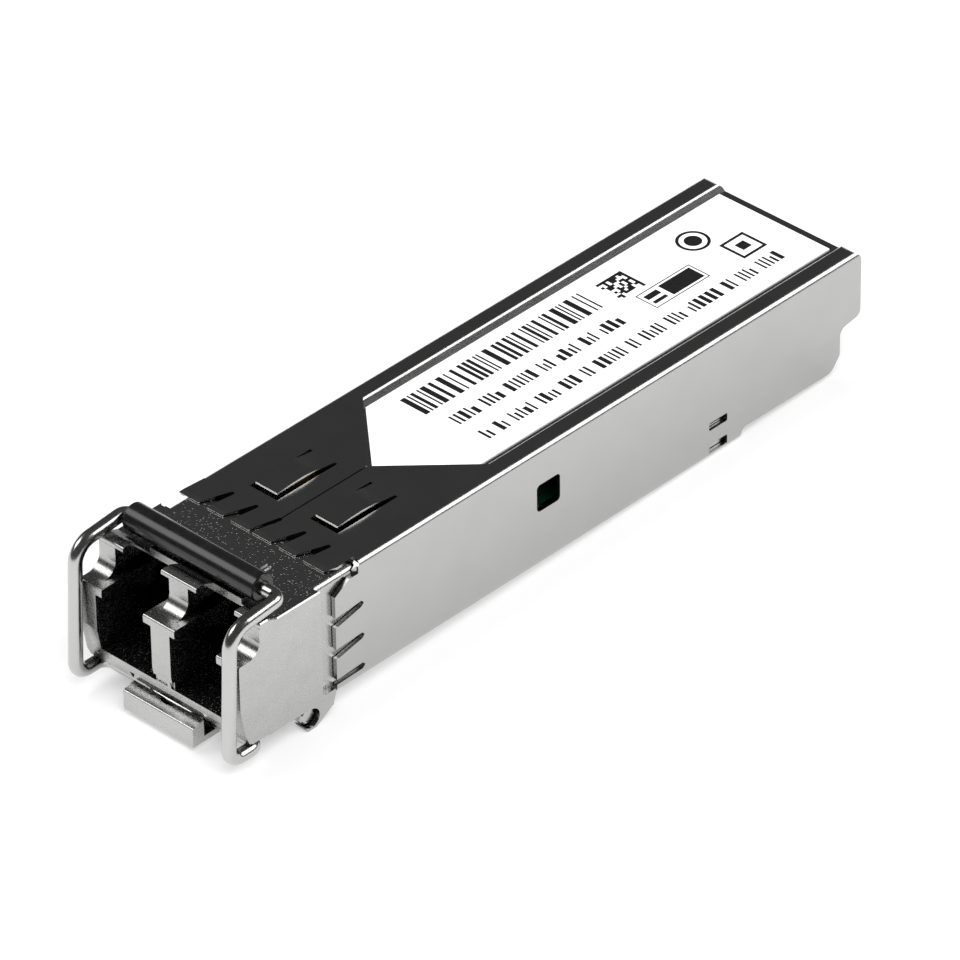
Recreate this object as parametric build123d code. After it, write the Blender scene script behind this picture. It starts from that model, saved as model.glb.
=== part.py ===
"""Optical transceiver module with a duplex receptacle and a bail latch, in millimetres.

X is across the module, +Y runs from the port end to the edge-connector end, +Z is up.
The functions work from the port face (y = 0) and the underside of the cover (z = 0);
save() then shifts every piece so that the origin is the bottom centre of the whole box.
"""

import math
import os

from build123d import *

# Envelope
COVER_WIDTH = 13.4
COVER_HEIGHT = 8.7
MODULE_LENGTH = 56.5
NOSE_WIDTH = 13.7
STOP_SHOULDER_Y = 7.07
SHOULDER_RELIEF = 0.1
SHOULDER_RIM_X = 6.72
SHEET = 0.3
FIT_GAP = 0.05

# Port end
PORT_PITCH = 6.25
PORT_WIDTH = 4.65
PORT_FLOOR_Z = 1.72
PORT_CEILING_Z = 5.95
PORT_DEPTH = 9.2
FLANGE_TOP_Z = 6.52
FLANGE_LENGTH = 5.6
FLANGE_SLOT_WIDTH = 3.58
PLATE_SLOT_WIDTH = 3.26
PLATE_FRONT_Y = 1.85
LIP_BACK_Y = 2.6
LIP_TOP_Z = 8.78
NOSE_TOP_Z = 8.45
NOSE_FLOOR_Z = 0.45
OPTICAL_AXIS_Z = 3.98
RAMP_RADIUS = 1.05

# Edge rounding of the casting
BAR_EDGE = 0.13
LIP_BACK_EDGE = 0.25
LONG_EDGE = 0.07

# Neck and tray inside the cover
NECK_HALF = COVER_WIDTH / 2 - SHEET - FIT_GAP
NECK_TOP_Z = COVER_HEIGHT - SHEET - FIT_GAP
NECK_BOTTOM_Z = SHEET + FIT_GAP
NECK_CORNER = 0.42
NECK_END_Y = 12.6
TRAY_TOP_Z = 1.05
TRAY_END_Y = 45.0
POST_TOP_Z = 3.7
TROUGH_Y = 9.6

# Board
BOARD_BOTTOM_Z = 2.25
BOARD_THICKNESS = 1.0
BOARD_START_Y = 22.5
BOARD_END_Y = MODULE_LENGTH - 3.2
BOARD_HALF = 5.7
EDGE_HALF = 4.6
EDGE_START_Y = 46.2
CONTACT_PITCH = 0.8
CONTACT_COUNT = 10

# Bail
WIRE_RADIUS = 0.47
BAIL_HALF = 6.6
BAIL_PIVOT_Y = 1.7
BAIL_PIVOT_Z = -0.18
CRANK_THROW = 0.45
GRIP_Y = 3.9
GRIP_Z = 9.6
LEG_BOTTOM_Y = -0.83
LEG_TOP_Y = -0.38
LEG_TOP_Z = 9.2
SLEEVE_RADIUS = 0.95

# Latch lever
LEVER_PIVOT_Y = 6.05
LEVER_PIVOT_Z = -0.52
LEVER_PIN_RADIUS = 0.6
LEVER_PIN_HALF = 6.5
PIN_HOLE_RADIUS = 0.68
LEVER_HALF = 3.0
TAIL_HALF = 1.5
LATCH_SHOULDER_Y = MODULE_LENGTH - 45.0
BOSS_WIDTH = 2.6
BOSS_HEIGHT = 0.45

# Top of the cover
SLOT_LEAN = 0.7
FINGER_TIP_Y = 8.67
SIDE_TIP_Y = 8.45
TOP_ROOT_Y = 10.5
SIDE_ROOT_Y = 10.7
SLOT_ROOT_HALF = 0.17
TIP_SHEET = 0.04
SEAM_X = 0.03
SEAM_GAP = 0.1
TONGUE_XS = (-2.65, 2.5)
TONGUE_HALF = 0.93
TONGUE_GAP = 0.24
TONGUE_FRONT_Y = 12.07
TONGUE_ROOT_Y = 17.1
TONGUE_SHEET = 0.17
TONGUE_EDGE = 0.07
PANEL_DEPTH = 0.58
PANEL_HALF = 5.3
PANEL_FLOOR_HALF = 5.0
PANEL_REACH = 6.0
PANEL_APEX_Y = 18.15
PANEL_SHOULDER_Y = 23.3
PANEL_REAR_Y = MODULE_LENGTH + 1.5
PANEL_RIM_RADIUS = 0.3
RAIL_END_RADIUS = 0.65
LABEL_CENTRE_X = -0.22
LABEL_HALF = 4.73
LABEL_THICKNESS = 0.08
LABEL_APEX_Y = 18.85
LABEL_SHOULDER_Y = 23.15
LABEL_REAR_Y = 55.9

# Optical subassemblies
FERRULE_BORE = 0.63
SLEEVE_START_Y = 6.88
SLEEVE_END_Y = 10.5
STUB_RADIUS = 0.84

# Box of the whole object, for the origin
FRONT_Y = -1.256
LOWEST_Z = -1.38
MIDDLE_Y = (FRONT_Y + MODULE_LENGTH) / 2


def block(x, y, z):
    """A box between (low, high) pairs along each axis."""
    centre = Pos((x[0] + x[1]) / 2, (y[0] + y[1]) / 2, (z[0] + z[1]) / 2)
    return centre * Box(x[1] - x[0], y[1] - y[0], z[1] - z[0])


def rod_x(radius, x, y, z):
    """A cylinder along X between x[0] and x[1]."""
    return Pos((x[0] + x[1]) / 2, y, z) * Rot(0, 90, 0) * Cylinder(radius, x[1] - x[0])


def rod_y(radius, x, y, z):
    """A cylinder along Y between y[0] and y[1]."""
    return Pos(x, (y[0] + y[1]) / 2, z) * Rot(90, 0, 0) * Cylinder(radius, y[1] - y[0])


def rod_z(radius, x, y, z):
    """A cylinder along Z between z[0] and z[1]."""
    return Pos(x, y, (z[0] + z[1]) / 2) * Cylinder(radius, z[1] - z[0])


def side_plate(points, x, radii=None):
    """A (y, z) outline, with optional corner radii, extruded between x[0] and x[1]."""
    if radii is None:
        outline = Polyline(*points, close=True)
    else:
        outline = FilletPolyline(*points, radius=radii, close=True)
    return extrude(Plane.YZ.offset(x[0]) * make_face(outline), amount=x[1] - x[0])


def plan_plate(points, z):
    """An (x, y) outline extruded between z[0] and z[1]."""
    return extrude(Plane.XY.offset(z[0]) * make_face(Polyline(*points, close=True)), amount=z[1] - z[0])


def strip(points, thickness, x):
    """A bent strip whose lower face follows the (y, z) points."""
    upper = []
    for index, point in enumerate(points):
        before = Vector(*points[max(index - 1, 0)])
        after = Vector(*points[min(index + 1, len(points) - 1)])
        run_in = (Vector(*point) - before).normalized() if index else None
        run_out = (after - Vector(*point)).normalized() if index < len(points) - 1 else None
        run_in = run_in or run_out
        run_out = run_out or run_in
        normal = Vector(-(run_in.Y + run_out.Y), run_in.X + run_out.X).normalized()
        reach = thickness / normal.dot(Vector(-run_in.Y, run_in.X))
        upper.append((point[0] + normal.X * reach, point[1] + normal.Y * reach))
    return side_plate(points + upper[::-1], x)


def both_sides(shape):
    """The shape and its mirror image across the module's middle plane."""
    return [shape, mirror(shape, about=Plane.YZ)]


def save(name, *solids):
    """Writes one node, moved to the object's own origin."""
    node = solids[0] if len(solids) == 1 else Compound(children=list(solids))
    export_step(Pos(0, -MIDDLE_Y, -LOWEST_Z) * node, f"parts/{name}.step")


def nose_body():
    """The wide port end: full section above the floor, side walls below it."""
    half = NOSE_WIDTH / 2
    front = [(0.05, 3.3), (0.05, FLANGE_TOP_Z), (PLATE_FRONT_Y, FLANGE_TOP_Z), (PLATE_FRONT_Y, LIP_TOP_Z)]
    top = [(LIP_BACK_Y, LIP_TOP_Z), (3.4, NOSE_TOP_Z), (STOP_SHOULDER_Y, NOSE_TOP_Z)]
    body = side_plate(
        [(0.45, 1.1), *front, *top, (STOP_SHOULDER_Y, NOSE_FLOOR_Z), (0.75, NOSE_FLOOR_Z)],
        (-half, half),
        [0.3, 0.3, BAR_EDGE, 0, BAR_EDGE, LIP_BACK_EDGE, 0.3, 0, 0, 0],
    )
    body = chamfer(body.edges().filter_by(Axis.Y).group_by(Axis.Z)[-1], LONG_EDGE)
    ramp = block((-half, half), (0.8, PLATE_FRONT_Y), (FLANGE_TOP_Z, FLANGE_TOP_Z + RAMP_RADIUS))
    ramp -= rod_x(RAMP_RADIUS, (-half, half), PLATE_FRONT_Y - RAMP_RADIUS, FLANGE_TOP_Z + RAMP_RADIUS)
    back = block((-half, half), (PLATE_FRONT_Y - 0.01, 3.4), (FLANGE_TOP_Z, NOSE_TOP_Z))
    body += [ramp, back]
    wall = side_plate(
        [
            (0.75, 0.5), (1.0, 0.34), (2.3, 0.34), (2.4, 0.24), (STOP_SHOULDER_Y, 0.24),
            (STOP_SHOULDER_Y, 0.6),
        ],
        (PORT_PITCH / 2 + PORT_WIDTH / 2, half),
    )
    body += both_sides(wall)
    return body


def neck_and_tray():
    """The part of the casting that the cover wraps: neck, tray floor, board rails and posts."""
    neck = block((-NECK_HALF, NECK_HALF), (STOP_SHOULDER_Y, NECK_END_Y), (NECK_BOTTOM_Z, NECK_TOP_Z))
    top_corners = neck.edges().filter_by(Axis.Y).group_by(Axis.Z)[-1]
    neck = fillet(top_corners, NECK_CORNER)
    tray = block((-NECK_HALF, NECK_HALF), (NECK_END_Y, TRAY_END_Y), (NECK_BOTTOM_Z, TRAY_TOP_Z))
    rail = block((5.0, NECK_HALF), (NECK_END_Y, TRAY_END_Y), (TRAY_TOP_Z, BOARD_BOTTOM_Z))
    post = block((BOARD_HALF + 0.1, NECK_HALF), (25.2, 29.4), (BOARD_BOTTOM_Z, POST_TOP_Z))
    return [neck, tray, *both_sides(rail), *both_sides(post)]


def port_cavity(x):
    """Everything cut away for one port, centred on x."""
    wide = (x - PORT_WIDTH / 2, x + PORT_WIDTH / 2)
    flange_slot = (x - FLANGE_SLOT_WIDTH / 2, x + FLANGE_SLOT_WIDTH / 2)
    plate_slot = (x - PLATE_SLOT_WIDTH / 2, x + PLATE_SLOT_WIDTH / 2)
    return [
        block(wide, (-1, PORT_DEPTH), (PORT_FLOOR_Z, PORT_CEILING_Z)),
        block(flange_slot, (-1, FLANGE_LENGTH), (PORT_CEILING_Z - 0.1, FLANGE_TOP_Z + 0.1)),
        block(wide, (FLANGE_LENGTH, PORT_DEPTH), (PORT_CEILING_Z - 0.1, 7.6)),
        block(wide, (-1, 3.3), (FLANGE_TOP_Z, 8.48)),
        block(wide, (3.3, 6.6), (FLANGE_TOP_Z, 7.95)),
        block(plate_slot, (-1, 3.3), (8.4, 9.5)),
    ]


def hook_lug():
    """The hook at the lower rear corner of a side wall that carries the lever's pin."""
    outline = [
        (5.6, 0.6), (6.0, 0.15), (6.0, -1.2), (5.5, -1.0), (5.75, LOWEST_Z), (6.35, LOWEST_Z),
        (7.2, -0.9), (7.95, -0.45), (8.17, 0.25), (8.17, 0.6),
    ]
    lug = side_plate(outline, (5.9, NOSE_WIDTH / 2))
    return lug - rod_x(PIN_HOLE_RADIUS, (5, 8), LEVER_PIVOT_Y, LEVER_PIVOT_Z)


def shoulder_relief():
    """The shallow groove inside the stop shoulder's rim, where the cover's front edge runs."""
    depth = (STOP_SHOULDER_Y - SHOULDER_RELIEF, STOP_SHOULDER_Y + 0.1)
    return both_sides(block((NECK_HALF, SHOULDER_RIM_X), depth, (0.6, 9)))


def parting_ridges():
    """Two fine ridges left by the die on the nose's top."""
    return [block((x, x + 0.13), (5.6, 6.9), (NOSE_TOP_Z - 0.05, NOSE_TOP_Z + 0.09)) for x in (2.42, 2.74)]


def optics_saddles(x):
    """The cut that seats one optical subassembly behind its port."""
    return [
        rod_y(1.65, x, (PORT_DEPTH - 1, NECK_END_Y + 1), OPTICAL_AXIS_Z),
        rod_y(2.45, x, (TROUGH_Y, 10.85), OPTICAL_AXIS_Z),
    ]


def nose_housing():
    """The die casting: nose, ports, neck, tray, lugs and lever cavity."""
    casting = nose_body()
    casting += neck_and_tray()
    casting += both_sides(hook_lug())
    casting += parting_ridges()
    cuts = []
    for x in (-PORT_PITCH / 2, PORT_PITCH / 2):
        cuts += port_cavity(x)
        cuts += optics_saddles(x)
    cuts += [
        block((-5.7, 5.7), (TROUGH_Y, NECK_END_Y + 1), (OPTICAL_AXIS_Z, 9)),
        block((-3.15, 3.15), (-1, 0.75), (-1, 1.1)),
        block((-3.2, 3.2), (6.6, 10.2), (-1, 1.3)),
        block((-1.9, 1.9), (10.1, 11.2), (-1, 1.3)),
        block((-1.9, 1.9), (11.1, 16.2), (-1, 1.75)),
        rod_x(0.54, (-8, 8), BAIL_PIVOT_Y, BAIL_PIVOT_Z),
        rod_z(0.37, 0, 17.6, (0, 2)),
        block((-0.8, 0.3), (-1, 0.45), (PORT_FLOOR_Z, 2.25)),
        block((0.6, 0.8), (-1, 0.45), (PORT_FLOOR_Z, 2.25)),
        block((-1, 1), (-1, 0.15), (PORT_FLOOR_Z, PORT_CEILING_Z)),
        *both_sides(block((3.9, 5.7), (2.9, 5.0), (8.1, 9))),
        *shoulder_relief(),
    ]
    return casting - cuts


def tube_section():
    """The folded sheet before it is pierced: a rectangular tube with rounded corners."""
    outer = RectangleRounded(COVER_WIDTH, COVER_HEIGHT, 0.45)
    inner = RectangleRounded(COVER_WIDTH - 2 * SHEET, COVER_HEIGHT - 2 * SHEET, 0.15)
    wall = Plane.XZ.offset(-MODULE_LENGTH) * Pos(0, COVER_HEIGHT / 2) * (outer - inner)
    return extrude(wall, amount=MODULE_LENGTH - SIDE_TIP_Y)


def side_profile():
    """The cover's side view, as a solid wider than the cover."""
    points = [
        (8.0, -0.5), (45.0, -0.5), (45.2, 0.8), (53.7, 0.72), (54.55, 1.7), (54.55, 3.62),
        (MODULE_LENGTH, 3.9), (MODULE_LENGTH, COVER_HEIGHT), (8.0, COVER_HEIGHT),
    ]
    radii = [0, 0, 0.5, 0.8, 0.5, 0.6, 0.5, RAIL_END_RADIUS, 0]
    return side_plate(points, (-8, 8), radii)


def pointed_outline(centre, half, apex, shoulder, rear):
    """An (x, y) pentagon that points at the port end."""
    return [
        (centre, apex), (centre + half, shoulder), (centre + half, rear), (centre - half, rear),
        (centre - half, shoulder),
    ]


def panel_cut():
    """The cut for the sunk panel: sloping sides under rounded rims, and an upright point in front."""
    floor = COVER_HEIGHT - PANEL_DEPTH
    above = COVER_HEIGHT + 1
    section = FilletPolyline(
        (-PANEL_REACH, above), (-PANEL_REACH, COVER_HEIGHT), (-PANEL_HALF, COVER_HEIGHT),
        (-PANEL_FLOOR_HALF, floor), (PANEL_FLOOR_HALF, floor), (PANEL_HALF, COVER_HEIGHT),
        (PANEL_REACH, COVER_HEIGHT), (PANEL_REACH, above),
        radius=[0, 0, PANEL_RIM_RADIUS, 0, 0, PANEL_RIM_RADIUS, 0, 0],
        close=True,
    )
    trough = extrude(Plane.XZ.offset(-PANEL_REAR_Y) * make_face(section), amount=PANEL_REAR_Y - 17)
    slope = (PANEL_SHOULDER_Y - PANEL_APEX_Y) / PANEL_HALF
    reach_y = PANEL_APEX_Y + slope * PANEL_REACH
    outline = pointed_outline(0, PANEL_REACH, PANEL_APEX_Y, reach_y, PANEL_REAR_Y)
    return trough & plan_plate(outline, (floor, above))


def leaning_slot(tip, root, half, z):
    """A slot between two fingers, open at the fingers' tips and round at its root."""
    points = [
        (tip - half, 7.0), (tip + half, 7.0), (tip + half, SIDE_TIP_Y + 0.3),
        (root + SLOT_ROOT_HALF, TOP_ROOT_Y), (root - SLOT_ROOT_HALF, TOP_ROOT_Y),
        (tip - half, SIDE_TIP_Y + 0.3),
    ]
    return plan_plate(points, z) + rod_z(SLOT_ROOT_HALF, root, TOP_ROOT_Y, z)


def top_slots():
    """The slots that divide the top front edge into six leaning fingers."""
    through = (7.5, 9.5)
    cuts = [block((-8, 8), (7, FINGER_TIP_Y), through)]
    for root, half in ((-4.06, 0.38), (-2.0, 0.36), (SEAM_X, 0.16), (2.1, 0.38), (4.18, 0.38)):
        cuts.append(leaning_slot(root - SLOT_LEAN, root, half, through))
    return cuts


def coined_tips():
    """The cut that thins the top fingers towards their tips."""
    tip_z = COVER_HEIGHT - SHEET + TIP_SHEET
    outline = [
        (8.0, tip_z - 0.04), (FINGER_TIP_Y, tip_z), (FINGER_TIP_Y + 0.35, tip_z + 0.09),
        (TOP_ROOT_Y, COVER_HEIGHT), (TOP_ROOT_Y, 9.5), (8.0, 9.5),
    ]
    return side_plate(outline, (-8, 8))


def side_slots(x):
    """The slots at the front edge of one side wall."""
    gaps = ((5.24, 5.54, 0.36), (2.91, 3.16, 0.36), (0.82, 0.9, 0.18))
    cuts = []
    for tip, root, half in gaps:
        points = [
            (7.0, tip - half), (SIDE_TIP_Y + 0.2, tip - half), (SIDE_ROOT_Y, root - 0.22),
            (SIDE_ROOT_Y + 0.22, root), (SIDE_ROOT_Y, root + 0.22), (SIDE_TIP_Y + 0.2, tip + half),
            (7.0, tip + half),
        ]
        cuts.append(side_plate(points, x))
    return cuts


def cut_corners():
    """The corners cut away between the top's end fingers and the side walls."""
    right = [(5.4, 7.0), (5.4, 8.3), (6.55, TOP_ROOT_Y), (8, TOP_ROOT_Y), (8, 7.0)]
    left = [(-7.0, 7.0), (-6.9, 8.3), (-6.45, TOP_ROOT_Y), (-8, TOP_ROOT_Y), (-8, 7.0)]
    side = [(7.0, 7.15), (SIDE_TIP_Y, 7.15), (SIDE_ROOT_Y, 8.5), (SIDE_ROOT_Y, 9), (7.0, 9)]
    below_finger = [(7.0, 7.15), (SIDE_TIP_Y, 7.15), (SIDE_ROOT_Y, 8.3), (7.0, 8.3)]
    return [
        plan_plate(right, (7.9, 9.5)),
        plan_plate(left, (7.9, 9.5)),
        side_plate(side, (6, 8)),
        side_plate(below_finger, (-8, -6.35)),
    ]


def left_finger_edge():
    """The part of the leftmost finger that leans out past the side wall."""
    outline = [(-6.4, FINGER_TIP_Y), (-6.85, FINGER_TIP_Y), (-6.45, TOP_ROOT_Y), (-6.2, TOP_ROOT_Y)]
    return plan_plate(outline, (COVER_HEIGHT - SHEET, COVER_HEIGHT))


def side_windows(x):
    """The locking window and the two rear slots of one side wall."""
    window = side_plate([(26.25, 4.1), (28.34, 4.1), (28.34, 6.1), (26.25, 6.1)], x, 0.3)
    upper = side_plate([(42.1, 2.12), (43.8, 2.12), (43.8, 2.7), (42.1, 2.7)], x, 0.12)
    lower = side_plate([(42.1, 0.42), (43.8, 0.42), (43.8, 1.06), (42.1, 1.06)], x, [0, 0, 0.12, 0.4])
    return [window, upper, lower]


def spring_tongue(x, slot):
    """One raised tongue on the top of the cover; slot asks for the opening around it."""
    width = (x - TONGUE_HALF, x + TONGUE_HALF)
    if slot:
        opening = (width[0] - TONGUE_GAP, width[1] + TONGUE_GAP)
        return block(opening, (TONGUE_FRONT_Y - TONGUE_GAP, TONGUE_ROOT_Y), (7.9, 9.5))
    under = COVER_HEIGHT - TONGUE_SHEET
    underside = [
        (TONGUE_FRONT_Y, under + 0.24), (13.3, under + 0.34), (14.4, under + 0.36), (15.3, under + 0.28),
        (16.2, under + 0.1), (TONGUE_ROOT_Y + 0.02, under),
    ]
    tongue = strip(underside, TONGUE_SHEET, width)
    tip_edges = tongue.edges().filter_by(Axis.X).group_by(Axis.Y)[0]
    return chamfer(tip_edges.sort_by(Axis.Z)[-1], TONGUE_EDGE)


def cover_shell():
    """The wrapped sheet cover with its fingers, tongues, sunk panel, windows and seam."""
    outline = pointed_outline(0, PANEL_HALF + SHEET, PANEL_APEX_Y - SHEET, PANEL_SHOULDER_Y, MODULE_LENGTH)
    backing = plan_plate(outline, (COVER_HEIGHT - PANEL_DEPTH - SHEET, COVER_HEIGHT - SHEET / 2))
    shell = (tube_section() + backing) & side_profile()
    shell -= panel_cut()
    for wall in ((-8, -6), (6, 8)):
        shell -= side_slots(wall)
        shell -= side_windows(wall)
    shell -= top_slots()
    shell += left_finger_edge()
    shell -= cut_corners()
    shell -= [
        block((SEAM_X - SEAM_GAP / 2, SEAM_X + SEAM_GAP / 2), (10, 18.9), (7.5, 9.5)),
        block((-3.3, 3.3), (7, 10), (-1, 0.5)),
        block((-1.7, 1.7), (9, 15.3), (-1, 0.5)),
        block((-6.2, 6.2), (46.1, 60), (-1, 0.5)),
    ]
    shell -= coined_tips()
    for x in TONGUE_XS:
        shell -= spring_tongue(x, True)
        shell += spring_tongue(x, False)
    return shell


def label():
    """The printed label, a pentagon on the sunk panel."""
    floor = COVER_HEIGHT - PANEL_DEPTH
    outline = pointed_outline(LABEL_CENTRE_X, LABEL_HALF, LABEL_APEX_Y, LABEL_SHOULDER_Y, LABEL_REAR_Y)
    return plan_plate(outline, (floor, floor + LABEL_THICKNESS))


def bail_wire():
    """The bent wire: grip bar, two arms, two legs, and the cranked pivot bar below the nose."""
    half_path = [
        (0.03, GRIP_Y, GRIP_Z), (BAIL_HALF, GRIP_Y, GRIP_Z), (BAIL_HALF, LEG_TOP_Y, LEG_TOP_Z),
        (BAIL_HALF, LEG_BOTTOM_Y, BAIL_PIVOT_Z), (BAIL_HALF, BAIL_PIVOT_Y, BAIL_PIVOT_Z),
        (2.2, BAIL_PIVOT_Y, BAIL_PIVOT_Z), (1.7, BAIL_PIVOT_Y - CRANK_THROW, BAIL_PIVOT_Z),
    ]
    radii = [0.55, 1.5, 0.9, 0.8, 0.6, 0.6]
    mirrored = [(-x, y, z) for x, y, z in half_path[::-1]]
    path = FilletPolyline(*half_path, *mirrored, radius=radii + radii[::-1])
    section = Plane(origin=path @ 0, z_dir=path % 0) * Circle(WIRE_RADIUS)
    return sweep(section, path=path)


def bail_sleeve():
    """The moulded sleeve on the grip bar."""
    span = (-5.95, 5.2)
    sleeve = rod_x(SLEEVE_RADIUS, span, GRIP_Y, GRIP_Z)
    sleeve = fillet(sleeve.edges(), 0.12)
    return sleeve - rod_x(WIRE_RADIUS + 0.03, (-7, 7), GRIP_Y, GRIP_Z)


def latch_lever():
    """The rocking lever: thumb block, plate, pin hub, tail and latch boss."""
    thumb_outline = [(-0.3, -1.2), (0.65, -1.2), (0.65, 0.42), (-0.3, 0.17)]
    thumb = side_plate(thumb_outline, (-LEVER_HALF, LEVER_HALF), [0, 0, 0, 0.12])
    thumb -= rod_z(1.41, 0, 1.71, (-0.5, 1))
    plate = block((-LEVER_HALF, LEVER_HALF), (0.6, LEVER_PIVOT_Y), (-1.2, -0.8))
    hub = rod_x(0.8, (-LEVER_HALF, LEVER_HALF), LEVER_PIVOT_Y, LEVER_PIVOT_Z)
    arm_outline = [(6.0, -1.2), (6.7, -1.2), (7.6, -0.3), (8.3, 0.05), (9.7, 0.05), (9.7, 0.62),
                   (8.0, 0.62), (6.4, 0.1)]
    arm = side_plate(arm_outline, (-LEVER_HALF, LEVER_HALF))
    tail = block((-TAIL_HALF, TAIL_HALF), (9.6, 14.9), (0.05, 0.62))
    half = BOSS_WIDTH / 2
    boss_plan = [(-half, LATCH_SHOULDER_Y), (half, LATCH_SHOULDER_Y), (0.25, LATCH_SHOULDER_Y + BOSS_WIDTH),
                 (-0.25, LATCH_SHOULDER_Y + BOSS_WIDTH)]
    boss = plan_plate(boss_plan, (-BOSS_HEIGHT, 0.1))
    lever = thumb + [plate, hub, arm, tail, boss]
    return lever - rod_x(LEVER_PIN_RADIUS, (-8, 8), LEVER_PIVOT_Y, LEVER_PIVOT_Z)


def lever_pin():
    """The steel pin pressed through the lever, its ends in the casting's hooks."""
    pin = rod_x(LEVER_PIN_RADIUS, (-LEVER_PIN_HALF, LEVER_PIN_HALF), LEVER_PIVOT_Y, LEVER_PIVOT_Z)
    return chamfer(pin.edges().filter_by(GeomType.CIRCLE), 0.12)


def latch_spring():
    """The leaf that holds the lever's tail down."""
    leaf = strip([(14.2, 0.66), (16.4, TRAY_TOP_Z), (18.6, TRAY_TOP_Z)], 0.15, (-1.0, 1.0))
    return leaf - rod_z(0.37, 0, 17.6, (0, 2))


def spring_rivet():
    """The rivet that fastens the leaf to the tray."""
    shank = rod_z(0.35, 0, 17.6, (NECK_BOTTOM_Z, TRAY_TOP_Z + 0.15))
    head = rod_z(0.6, 0, 17.6, (TRAY_TOP_Z + 0.15, TRAY_TOP_Z + 0.45))
    return shank + fillet(head.edges().group_by(Axis.Z)[-1], 0.15)


def receptacle(x):
    """The flanged barrel that takes the connector's ferrule."""
    z = OPTICAL_AXIS_Z
    barrel = rod_y(1.45, x, (6.0, 9.0), z)
    barrel += [
        rod_y(1.6, x, (9.0, 13.0), z),
        rod_y(2.4, x, (9.85, 10.8), z),
        rod_y(2.3, x, (13.0, 15.0), z),
    ]
    return barrel - [
        rod_y(FERRULE_BORE, x, (5, SLEEVE_START_Y), z),
        rod_y(1.0, x, (SLEEVE_START_Y - 0.03, SLEEVE_END_Y + 0.05), z),
        rod_y(STUB_RADIUS + 0.01, x, (SLEEVE_END_Y, 13.5), z),
        rod_y(1.95, x, (13.4, 16), z),
    ]


def split_sleeve(x):
    """The ceramic sleeve that aligns the ferrule, split along its top."""
    tube = rod_y(0.97, x, (SLEEVE_START_Y, SLEEVE_END_Y), OPTICAL_AXIS_Z)
    tube -= rod_y(FERRULE_BORE, x, (6, 12), OPTICAL_AXIS_Z)
    return tube - block((x - 0.1, x + 0.1), (6, 12), (OPTICAL_AXIS_Z, OPTICAL_AXIS_Z + 2))


def fibre_stub(x):
    """The polished stub between the sleeve and the can."""
    return rod_y(STUB_RADIUS, x, (SLEEVE_END_Y + 0.06, 12.6), OPTICAL_AXIS_Z)


def gasket(x):
    """The conductive washer between the barrel's flange and the port's rear wall."""
    washer = rod_y(2.38, x, (TROUGH_Y + 0.02, 9.83), OPTICAL_AXIS_Z)
    return washer - rod_y(1.64, x, (9, 11), OPTICAL_AXIS_Z)


def optics_can(x):
    """The sealed can with the laser or the photodiode: header and cap."""
    cap = rod_y(1.9, x, (13.6, 15.1), OPTICAL_AXIS_Z)
    return cap + rod_y(2.3, x, (15.03, 15.6), OPTICAL_AXIS_Z)


def can_leads(x, count):
    """The leads of one can, evenly spaced on a circle."""
    leads = []
    for index in range(count):
        angle = math.radians(360 * index / count + 45)
        place = (x + 1.27 * math.cos(angle), OPTICAL_AXIS_Z + 1.27 * math.sin(angle))
        leads.append(rod_y(0.22, place[0], (15.6, 16.35), place[1]))
    return leads


def flex_circuit(x):
    """The flexible circuit from a can's leads down to the board."""
    board_top = BOARD_BOTTOM_Z + BOARD_THICKNESS
    route = [(16.5, 1.9), (16.5, 6.1), (19.3, 6.1), (22.9, board_top), (25.0, board_top)]
    return strip(route, 0.14, (x - 1.9, x + 1.9))


def osa_retainer():
    """The moulded bridge that holds both barrels down in their saddles."""
    bridge = block((-5.6, 5.6), (9.7, 12.5), (4.05, 7.9))
    cuts = []
    for x in (-PORT_PITCH / 2, PORT_PITCH / 2):
        cuts += [rod_y(1.65, x, (9, 13), OPTICAL_AXIS_Z), rod_y(2.45, x, (9, 10.85), OPTICAL_AXIS_Z)]
    return bridge - cuts


def circuit_board():
    """The board, narrower where it forms the edge connector."""
    z = (BOARD_BOTTOM_Z, BOARD_BOTTOM_Z + BOARD_THICKNESS)
    wide = block((-BOARD_HALF, BOARD_HALF), (BOARD_START_Y, EDGE_START_Y), z)
    edge = block((-EDGE_HALF, EDGE_HALF), (EDGE_START_Y - 0.5, BOARD_END_Y), z)
    tip = edge.edges().filter_by(Axis.X).group_by(Axis.Y)[-1]
    return wide + chamfer(tip, 0.25)


def contact_pads(z):
    """One face's row of gold contacts; alternate pads are shorter."""
    pads = []
    for index in range(CONTACT_COUNT):
        x = (index - (CONTACT_COUNT - 1) / 2) * CONTACT_PITCH
        start = 50.3 if index % 3 else 49.6
        pads.append(block((x - 0.28, x + 0.28), (start, BOARD_END_Y - 0.35), z))
    return pads


def chip(x, y, width, length, height):
    """A flat chip package on the top of the board."""
    z = BOARD_BOTTOM_Z + BOARD_THICKNESS
    body = block((x - width / 2, x + width / 2), (y - length / 2, y + length / 2), (z + 0.02, z + height))
    return chamfer(body.edges().group_by(Axis.Z)[-1], 0.08)


def chip_row(places, width, length, height, top):
    """Small two-ended components at the listed (x, y) places, on one face of the board."""
    if top:
        z = (BOARD_BOTTOM_Z + BOARD_THICKNESS, BOARD_BOTTOM_Z + BOARD_THICKNESS + height)
    else:
        z = (BOARD_BOTTOM_Z - height, BOARD_BOTTOM_Z)
    return [block((x - width / 2, x + width / 2), (y - length / 2, y + length / 2), z) for x, y in places]


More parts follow.
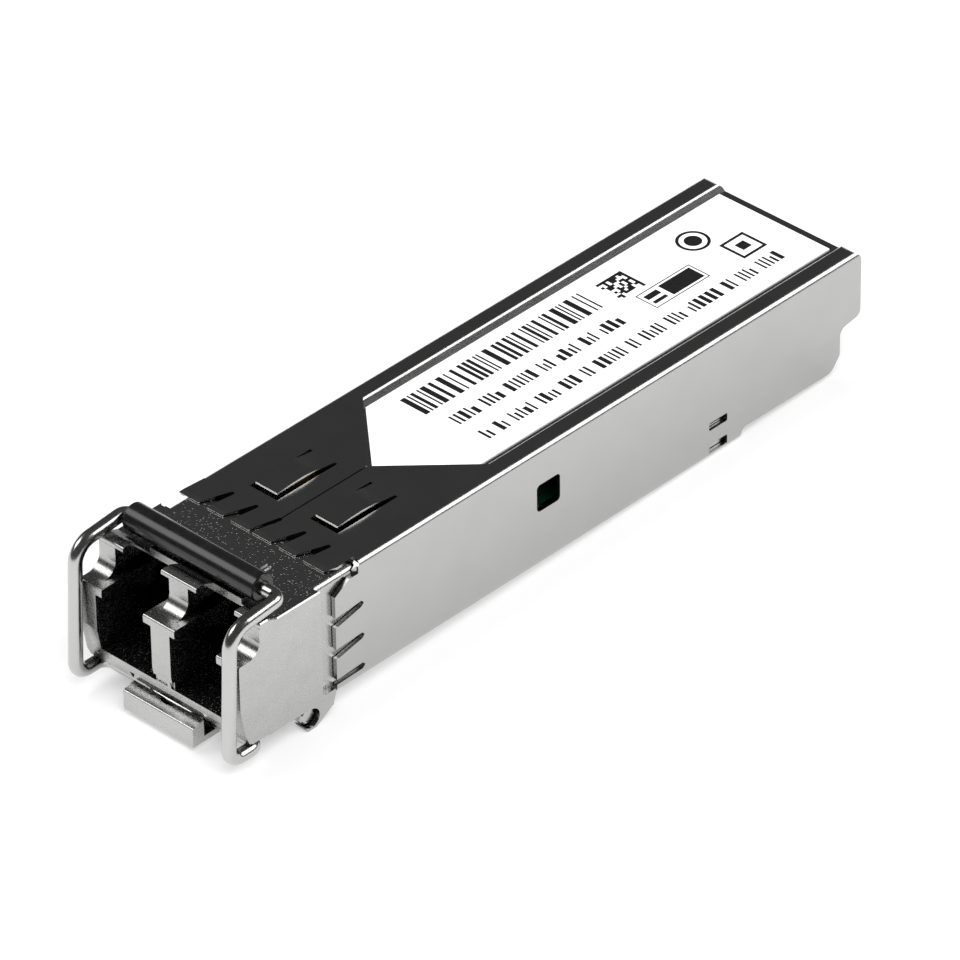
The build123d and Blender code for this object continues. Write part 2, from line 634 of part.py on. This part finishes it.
def main():
    os.makedirs("parts", exist_ok=True)
    save("nose_housing", nose_housing())
    save("cover_shell", cover_shell())
    save("label", label())
    save("bail_wire", bail_wire())
    save("bail_sleeve", bail_sleeve())
    save("latch_lever", latch_lever())
    save("lever_pin", lever_pin())
    save("latch_spring", latch_spring())
    save("spring_rivet", spring_rivet())
    save("osa_retainer", osa_retainer())
    save("circuit_board", circuit_board())
    for name, x, lead_count in (("tosa", -PORT_PITCH / 2, 4), ("rosa", PORT_PITCH / 2, 5)):
        save(f"{name}_receptacle", receptacle(x))
        save(f"{name}_split_sleeve", split_sleeve(x))
        save(f"{name}_fibre_stub", fibre_stub(x))
        save(f"{name}_gasket", gasket(x))
        save(f"{name}_can", optics_can(x))
        save(f"{name}_leads", *can_leads(x, lead_count))
        save(f"{name}_flex", flex_circuit(x))
    board_top = BOARD_BOTTOM_Z + BOARD_THICKNESS
    save("contacts_top", *contact_pads((board_top, board_top + 0.05)))
    save("contacts_bottom", *contact_pads((BOARD_BOTTOM_Z - 0.05, BOARD_BOTTOM_Z)))
    save("laser_driver_chip", chip(-3.1, 29.5, 4.0, 4.0, 0.95))
    save("amplifier_chip", chip(3.1, 29.5, 3.0, 3.0, 0.95))
    save("controller_chip", chip(0, 36.5, 5.0, 5.0, 0.95))
    save("memory_chip", chip(2.4, 42.5, 4.4, 3.0, 1.1))
    inductors = [(-4.2, 34.5), (4.2, 34.5), (-4.2, 38.5), (4.2, 38.5)]
    save("filter_inductors", *chip_row(inductors, 1.6, 2.0, 1.2, True))
    capacitors = [(x, y) for x in (-0.6, 0.6) for y in (26.6, 28.6, 30.6, 32.6)]
    save("ceramic_capacitors", *chip_row(capacitors, 0.5, 1.0, 0.5, True))
    resistors = [(x, y) for x in (-4.6, -3.4, -2.2, -1.0) for y in (42.2, 44.0)]
    save("chip_resistors", *chip_row(resistors, 0.5, 1.0, 0.35, True))
    lower = [(x, y) for x in (-3.0, -1.0, 1.0, 3.0) for y in (30.0, 35.0, 40.0)]
    save("lower_capacitors", *chip_row(lower, 0.8, 1.6, 0.8, False))


main()
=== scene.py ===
"""Looks of the optical transceiver module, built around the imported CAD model. Metres."""
import math
import random

import bpy
import bmesh
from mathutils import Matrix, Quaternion, Vector


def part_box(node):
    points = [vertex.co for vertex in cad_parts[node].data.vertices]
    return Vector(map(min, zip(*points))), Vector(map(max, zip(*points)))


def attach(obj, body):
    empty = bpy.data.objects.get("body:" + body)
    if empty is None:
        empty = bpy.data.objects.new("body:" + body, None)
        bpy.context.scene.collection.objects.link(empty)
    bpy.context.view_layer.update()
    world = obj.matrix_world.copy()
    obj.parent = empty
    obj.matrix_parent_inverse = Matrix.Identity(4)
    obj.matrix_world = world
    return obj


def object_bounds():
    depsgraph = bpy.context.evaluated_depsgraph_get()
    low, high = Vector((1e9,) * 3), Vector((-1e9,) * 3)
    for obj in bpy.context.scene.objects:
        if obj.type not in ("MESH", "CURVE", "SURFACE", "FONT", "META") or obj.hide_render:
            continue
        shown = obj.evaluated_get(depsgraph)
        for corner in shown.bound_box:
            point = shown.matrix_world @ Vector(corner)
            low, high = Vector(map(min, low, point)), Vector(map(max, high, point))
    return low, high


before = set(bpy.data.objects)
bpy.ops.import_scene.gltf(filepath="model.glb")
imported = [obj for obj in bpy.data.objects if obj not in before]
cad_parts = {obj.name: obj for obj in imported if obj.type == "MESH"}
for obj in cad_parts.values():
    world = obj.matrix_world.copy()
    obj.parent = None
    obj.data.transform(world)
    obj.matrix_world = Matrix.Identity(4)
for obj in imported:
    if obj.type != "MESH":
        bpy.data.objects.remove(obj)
cad_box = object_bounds()
MM = 0.001

# Camera
AZIMUTH, ELEVATION, ROLL = (math.radians(angle) for angle in (43.97, 35.19, -0.865))
AIM = Vector((1.54, -1.06, 5.38)) * MM
EYE_DISTANCE = 0.5167
LENS = 311.5
SENSOR_WIDTH = 36

# Ground and light
FLOOR_SIZE = 6
FLOOR_TONE = 0.5
FLOOR_GLOW = 0.45
ROOM_LIGHT = 0.07
# name, direction, distance, size, power, whether reflections show it
SOFTBOXES = [
    ("overhead_right", (0.5, -0.25, 0.85), 0.9, 0.6, 8, False),
    ("overhead_left", (-0.45, 0.1, 0.9), 0.9, 0.6, 5, False),
    ("front_left", (-0.567, -0.45, 0.69), 0.8, 0.42, 1.8, True),
    ("rear_right", (0.545, 0.588, 0.584), 0.8, 0.45, 2.4, True),
]

# Label print, millimetres
INK = 0.012 * MM
RING_SEGMENTS = 40
WORD_HEIGHT = 1.1
WORD_GAP = 0.45
STROKE_GAP = 0.2
CODE_CELLS = 10
CODE_CELL = 0.23


# ---------------------------------------------------------------- materials

def material(name, colour, metallic, roughness):
    """A Principled material, its node tree and its shader node."""
    made = bpy.data.materials.new(name)
    made.use_nodes = True
    shader = made.node_tree.nodes["Principled BSDF"]
    shader.inputs["Base Color"].default_value = (*colour, 1)
    shader.inputs["Metallic"].default_value = metallic
    shader.inputs["Roughness"].default_value = roughness
    return made, made.node_tree, shader


def link(tree, source, output, target, slot):
    """Joins one node's output to another node's input."""
    tree.links.new(source.outputs[output], target.inputs[slot])


def position(tree, scale=(1, 1, 1)):
    """Object coordinates, stretched along the axes."""
    coordinates = tree.nodes.new("ShaderNodeTexCoord")
    mapping = tree.nodes.new("ShaderNodeMapping")
    mapping.inputs["Scale"].default_value = scale
    link(tree, coordinates, "Object", mapping, "Vector")
    return mapping


def noise(tree, place, scale, detail=3.0, rough=0.5):
    """Noise over the given coordinates."""
    node = tree.nodes.new("ShaderNodeTexNoise")
    node.inputs["Scale"].default_value = scale
    node.inputs["Detail"].default_value = detail
    node.inputs["Roughness"].default_value = rough
    link(tree, place, "Vector", node, "Vector")
    return node


def ramp(tree, source, output, stops):
    """A colour ramp through (place, grey or colour) stops."""
    node = tree.nodes.new("ShaderNodeValToRGB")
    elements = node.color_ramp.elements
    elements[0].position, elements[-1].position = stops[0][0], stops[-1][0]
    for place, _ in stops[1:-1]:
        elements.new(place)
    for element, (_, value) in zip(elements, stops):
        tint = value if isinstance(value, tuple) else (value, value, value)
        element.color = (*tint, 1)
    link(tree, source, output, node, "Fac")
    return node


def product(tree, first, first_output, second, second_output):
    """The product of two node outputs."""
    node = tree.nodes.new("ShaderNodeMath")
    node.operation = "MULTIPLY"
    link(tree, first, first_output, node, 0)
    link(tree, second, second_output, node, 1)
    return node


def bump(tree, shader, height, output, distance, strength=1.0, after=None):
    """Raises the surface by a height output, on top of an earlier bump if there is one."""
    node = tree.nodes.new("ShaderNodeBump")
    node.inputs["Distance"].default_value = distance
    node.inputs["Strength"].default_value = strength
    link(tree, height, output, node, "Height")
    if after is not None:
        link(tree, after, "Normal", node, "Normal")
    link(tree, node, "Normal", shader, "Normal")
    return node


def sheet_steel():
    """Tin-plated sheet: very fine matt grain with slight clouding."""
    made, tree, shader = material("sheet_steel", (0.47, 0.47, 0.465), 1.0, 0.26)
    grain = noise(tree, position(tree), 11000, 2)
    clouds = noise(tree, position(tree), 420, 4, 0.6)
    tone = ramp(tree, clouds, "Fac", [(0.3, (0.42, 0.42, 0.415)), (0.7, (0.44, 0.44, 0.435))])
    link(tree, tone, "Color", shader, "Base Color")
    gloss = ramp(tree, clouds, "Fac", [(0.3, 0.22), (0.7, 0.26)])
    link(tree, gloss, "Color", shader, "Roughness")
    bump(tree, shader, grain, "Fac", 4e-6, 0.45)
    return made


def raised_grains(tree):
    """Small scattered grains, only on the faces that look straight up."""
    cells = tree.nodes.new("ShaderNodeTexVoronoi")
    cells.inputs["Scale"].default_value = 6000
    link(tree, position(tree), "Vector", cells, "Vector")
    dots = ramp(tree, cells, "Distance", [(0.0, 1.0), (0.3, 0.0), (1.0, 0.0)])
    picked = ramp(tree, cells, "Color", [(0.0, 0.0), (0.45, 0.0), (0.6, 1.0)])
    grains = product(tree, dots, "Color", picked, "Color")
    facing = tree.nodes.new("ShaderNodeSeparateXYZ")
    link(tree, tree.nodes.new("ShaderNodeTexCoord"), "Normal", facing, "Vector")
    upward = ramp(tree, facing, "Z", [(0.0, 0.0), (0.9, 0.0), (0.99, 1.0)])
    return product(tree, grains, "Value", upward, "Color")


def painted_shade_inside(tree, tone):
    """The tone with painted shade: turned nearly black deep inside openings by ambient occlusion."""
    # painted shade: the ambient occlusion amount darkens the base colour in recesses and ports
    openness = tree.nodes.new("ShaderNodeAmbientOcclusion")
    openness.inputs["Distance"].default_value = 0.006
    depth = ramp(tree, openness, "AO", [(0.15, 0.04), (0.5, 1.0)])
    shaded = tree.nodes.new("ShaderNodeMix")
    shaded.data_type = "RGBA"
    shaded.blend_type = "MULTIPLY"
    shaded.inputs["Factor"].default_value = 1.0
    link(tree, tone, "Color", shaded, "A")
    link(tree, depth, "Color", shaded, "B")
    return shaded


def cast_zinc():
    """Nickel-plated casting: a fine skin, raised grains on its tops, and painted shade that turns its
    ports dark.
    """
    made, tree, shader = material("cast_zinc", (0.47, 0.47, 0.465), 1.0, 0.28)
    skin = noise(tree, position(tree), 7000, 4, 0.6)
    clouds = noise(tree, position(tree), 700, 3)
    tone = ramp(tree, clouds, "Fac", [(0.3, (0.43, 0.43, 0.425)), (0.7, (0.46, 0.46, 0.455))])
    # base colour carries painted shade, darkened nearly to black inside the ports
    link(tree, painted_shade_inside(tree, tone), "Result", shader, "Base Color")
    gloss = ramp(tree, skin, "Fac", [(0.3, 0.2), (0.7, 0.34)])
    link(tree, gloss, "Color", shader, "Roughness")
    base = bump(tree, shader, skin, "Fac", 7e-6, 0.4)
    bump(tree, shader, raised_grains(tree), "Value", 6e-5, 1.0, base)
    return made


def satin_steel(name, colour, roughness, scale=6000):
    """Plain satin metal with fine grain."""
    made, tree, shader = material(name, colour, 1.0, roughness)
    grain = noise(tree, position(tree), scale, 3)
    gloss = ramp(tree, grain, "Fac", [(0.3, roughness * 0.8), (0.7, roughness * 1.25)])
    link(tree, gloss, "Color", shader, "Roughness")
    bump(tree, shader, grain, "Fac", 5e-6, 0.4)
    return made


def drawn_wire():
    """Bright drawn wire with faint lengthwise die marks."""
    made, tree, shader = material("drawn_wire", (0.5, 0.5, 0.49), 1.0, 0.2)
    marks = noise(tree, position(tree, (0.08, 1, 0.08)), 5200, 3)
    gloss = ramp(tree, marks, "Fac", [(0.3, 0.15), (0.7, 0.27)])
    link(tree, gloss, "Color", shader, "Roughness")
    bump(tree, shader, marks, "Fac", 4e-6, 0.3)
    return made


def moulded(name, colour, roughness, scale=2500, depth=6e-6):
    """Plastic, ceramic or rubber with a slight moulded texture."""
    made, tree, shader = material(name, colour, 0.0, roughness)
    grain = noise(tree, position(tree), scale, 4)
    dark = tuple(channel * 0.85 for channel in colour)
    light = tuple(min(channel * 1.15 + 0.003, 1) for channel in colour)
    tone = ramp(tree, grain, "Fac", [(0.3, dark), (0.7, light)])
    link(tree, tone, "Color", shader, "Base Color")
    bump(tree, shader, grain, "Fac", depth, 0.4)
    return made


def label_film():
    """White label film with a faint fibre."""
    made, tree, shader = material("label_film", (0.9, 0.9, 0.89), 0.0, 0.45)
    fibre = noise(tree, position(tree), 3000, 4)
    tone = ramp(tree, fibre, "Fac", [(0.3, (0.88, 0.88, 0.875)), (0.7, (0.93, 0.93, 0.925))])
    link(tree, tone, "Color", shader, "Base Color")
    bump(tree, shader, fibre, "Fac", 2e-6, 0.2)
    return made


def board_laminate():
    """Dark green solder mask with copper tracks showing through as lighter lines."""
    made, tree, shader = material("board_laminate", (0.004, 0.03, 0.013), 0.0, 0.3)
    tracks = tree.nodes.new("ShaderNodeTexBrick")
    tracks.inputs["Scale"].default_value = 900
    tracks.inputs["Color1"].default_value = (0.003, 0.025, 0.011, 1)
    tracks.inputs["Color2"].default_value = (0.003, 0.025, 0.011, 1)
    tracks.inputs["Mortar"].default_value = (0.006, 0.05, 0.02, 1)
    tracks.inputs["Mortar Size"].default_value = 0.03
    link(tree, position(tree), "Vector", tracks, "Vector")
    link(tree, tracks, "Color", shader, "Base Color")
    bump(tree, shader, tracks, "Fac", 8e-6, 0.4)
    return made


MATERIALS = {
    "sheet": sheet_steel(),
    "casting": cast_zinc(),
    "wire": drawn_wire(),
    "lever": satin_steel("lever_steel", (0.5, 0.5, 0.495), 0.26),
    "spring": satin_steel("spring_steel", (0.6, 0.6, 0.6), 0.2),
    "turned": satin_steel("turned_steel", (0.6, 0.6, 0.6), 0.22),
    "gold": satin_steel("gold_plate", (0.9, 0.66, 0.26), 0.22),
    "sleeve": moulded("black_vinyl", (0.006, 0.006, 0.006), 0.22, 1800, 1e-6),
    "moulding": moulded("black_moulding", (0.02, 0.02, 0.02), 0.5),
    "package": moulded("chip_package", (0.025, 0.025, 0.027), 0.55),
    "ferrite": moulded("ferrite", (0.09, 0.085, 0.085), 0.6),
    "capacitor": moulded("capacitor_ceramic", (0.42, 0.28, 0.17), 0.5),
    "zirconia": moulded("zirconia", (0.86, 0.86, 0.83), 0.15),
    "gasket": moulded("gasket_rubber", (0.05, 0.05, 0.05), 0.8),
    "flex": moulded("flex_polyimide", (0.16, 0.08, 0.02), 0.35),
    "label": label_film(),
    "board": board_laminate(),
    "ink": moulded("printing_ink", (0.008, 0.008, 0.008), 0.4),
}

LOOK = {
    "nose_housing": "casting", "cover_shell": "sheet", "label": "label", "bail_wire": "wire",
    "bail_sleeve": "sleeve", "latch_lever": "lever", "lever_pin": "wire", "latch_spring": "spring",
    "spring_rivet": "spring", "osa_retainer": "moulding", "circuit_board": "board",
    "contacts_top": "gold", "contacts_bottom": "gold", "laser_driver_chip": "package",
    "amplifier_chip": "package", "controller_chip": "package", "memory_chip": "package",
    "filter_inductors": "ferrite", "ceramic_capacitors": "capacitor", "chip_resistors": "package",
    "lower_capacitors": "capacitor",
}
for side in ("tosa", "rosa"):
    LOOK.update({
        f"{side}_receptacle": "turned",
        f"{side}_split_sleeve": "zirconia",
        f"{side}_fibre_stub": "zirconia",
        f"{side}_gasket": "gasket",
        f"{side}_can": "gold",
        f"{side}_leads": "gold",
        f"{side}_flex": "flex",
    })


def paint(thing, look):
    """Gives an object one material."""
    thing.data.materials.clear()
    thing.data.materials.append(MATERIALS[look])


for node, look in LOOK.items():
    paint(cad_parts[node], look)


# ---------------------------------------------------------------- label print

class Print:
    """Raised ink on the label; places are millimetres across its middle and along from its rear edge."""

    def __init__(self):
        low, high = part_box("label")
        self.origin = Vector(((low.x + high.x) / 2, high.y, high.z))
        self.mesh = bmesh.new()

    def place(self, x, y):
        """A point on the label's surface."""
        return self.origin + Vector((x, -y, 0)) * MM

    def outline(self, points):
        """A flat raised shape inside a ring of (x, y) points."""
        corners = [self.mesh.verts.new(self.place(x, y)) for x, y in points]
        face = self.mesh.faces.new(corners)
        raised = bmesh.ops.extrude_face_region(self.mesh, geom=[face])["geom"]
        top = [item for item in raised if isinstance(item, bmesh.types.BMVert)]
        bmesh.ops.translate(self.mesh, verts=top, vec=(0, 0, INK))

    def bar(self, x, y, width, length):
        """A rectangle centred on x that starts at y and runs towards the port end."""
        left, right = x - width / 2, x + width / 2
        self.outline([(left, y), (right, y), (right, y + length), (left, y + length)])

    def frame(self, x, y, width, length, line):
        """A thin rectangular frame."""
        self.bar(x, y, width, line)
        self.bar(x, y + length - line, width, line)
        self.bar(x - width / 2 + line / 2, y + line, line, length - 2 * line)
        self.bar(x + width / 2 - line / 2, y + line, line, length - 2 * line)

    def ring(self, x, y, radius, line):
        """A ring as short segments."""
        inner = radius - line
        for step in range(RING_SEGMENTS):
            turn, after = (math.tau * value / RING_SEGMENTS for value in (step, step + 1))
            self.outline([
                (x + inner * math.cos(turn), y + inner * math.sin(turn)),
                (x + radius * math.cos(turn), y + radius * math.sin(turn)),
                (x + radius * math.cos(after), y + radius * math.sin(after)),
                (x + inner * math.cos(after), y + inner * math.sin(after)),
            ])

    def words(self, x, start, end, dice):
        """A row of greeked words: groups of upright strokes between start and end."""
        y = start
        while y < end:
            for _ in range(dice.randint(2, 6)):
                stroke = dice.choice((0.16, 0.2, 0.34))
                tall = dice.choice((WORD_HEIGHT, WORD_HEIGHT, WORD_HEIGHT * 0.72))
                if y + stroke < end:
                    self.bar(x + (WORD_HEIGHT - tall) / 2, y, tall, stroke)
                y += stroke + STROKE_GAP
            y += WORD_GAP

    def finish(self):
        """Turns the ink into one piece that rides the housing."""
        bmesh.ops.recalc_face_normals(self.mesh, faces=self.mesh.faces)
        data = bpy.data.meshes.new("label_print")
        self.mesh.to_mesh(data)
        self.mesh.free()
        piece = bpy.data.objects.new("label_print", data)
        bpy.context.collection.objects.link(piece)
        paint(piece, "ink")
        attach(piece, "housing")


def print_label():
    """Generic marks only: a bar code, two rows of strokes for words, a square code, a dot and frames."""
    label = Print()
    dice = random.Random(4)
    y = 14.6
    while y < 31.0:
        bar = dice.choice((0.14, 0.14, 0.28, 0.42))
        label.bar(-2.55, y, 2.3, bar)
        y += bar + dice.choice((0.16, 0.28, 0.4))
    label.words(0.35, 14.9, 30.2, dice)
    label.words(2.75, 2.6, 30.0, dice)
    for row in range(CODE_CELLS):
        for column in range(CODE_CELLS):
            if row == 0 or column == 0 or dice.random() < 0.5:
                label.bar(-3.3 + row * CODE_CELL, 10.9 + column * CODE_CELL, CODE_CELL, CODE_CELL)
    label.frame(0.25, 7.4, 1.9, 5.0, 0.08)
    label.bar(0.25, 7.65, 1.4, 2.9)
    label.bar(-0.05, 10.9, 0.5, 1.2)
    label.bar(0.65, 10.9, 0.3, 1.2)
    label.ring(-2.3, 5.2, 1.15, 0.22)
    label.ring(-2.3, 5.2, 0.6, 0.6)
    label.frame(0.4, 2.3, 2.2, 2.2, 0.22)
    label.bar(0.4, 3.0, 0.8, 0.8)
    label.finish()


print_label()


# ---------------------------------------------------------------- stage, light, camera

def pale_floor():
    """A glowing floor under the hook lugs, sloped a little to meet the cover's lower rear edge."""
    made, _, shader = material("pale_floor", (FLOOR_TONE, FLOOR_TONE, FLOOR_TONE), 0.0, 0.7)
    shader.inputs["Emission Color"].default_value = (1, 1, 1, 1)
    shader.inputs["Emission Strength"].default_value = FLOOR_GLOW
    bpy.ops.mesh.primitive_plane_add(size=FLOOR_SIZE)
    floor = bpy.context.object
    floor.name = "floor"
    floor.data.materials.append(made)
    lug = Vector((0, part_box("lever_pin")[0].y, cad_box[0].z))
    rear = Vector((0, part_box("nose_housing")[1].y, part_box("cover_shell")[0].z))
    floor.location = lug
    floor.rotation_euler = (math.atan2(rear.z - lug.z, rear.y - lug.y), 0, 0)


def softbox(name, direction, distance, size, power, in_reflections):
    """A square area light that faces the module."""
    data = bpy.data.lights.new(name, "AREA")
    data.size = size
    data.energy = power
    lamp = bpy.data.objects.new(name, data)
    lamp.location = Vector(direction).normalized() * distance
    lamp.rotation_euler = (-lamp.location).to_track_quat("-Z", "Y").to_euler()
    lamp.visible_glossy = in_reflections
    bpy.context.collection.objects.link(lamp)


def studio():
    """A dim room and its light boxes; the overhead ones are kept out of the reflections."""
    world = bpy.data.worlds.new("studio")
    world.use_nodes = True
    background = world.node_tree.nodes["Background"]
    background.inputs["Color"].default_value = (1, 1, 1, 1)
    background.inputs["Strength"].default_value = ROOM_LIGHT
    bpy.context.scene.world = world
    for box in SOFTBOXES:
        softbox(*box)
    bpy.context.scene.view_settings.view_transform = "Standard"


def camera():
    """The long-lens three-quarter view from the right front."""
    level = math.cos(ELEVATION)
    back = Vector((math.sin(AZIMUTH) * level, -math.cos(AZIMUTH) * level, math.sin(ELEVATION)))
    data = bpy.data.cameras.new("camera")
    data.lens = LENS
    data.sensor_width = SENSOR_WIDTH
    eye = bpy.data.objects.new("camera", data)
    eye.location = AIM + back * EYE_DISTANCE
    eye.rotation_mode = "QUATERNION"
    eye.rotation_quaternion = (-back).to_track_quat("-Z", "Y") @ Quaternion((0, 0, 1), ROLL)
    bpy.context.collection.objects.link(eye)
    bpy.context.scene.camera = eye


pale_floor()
studio()
camera()
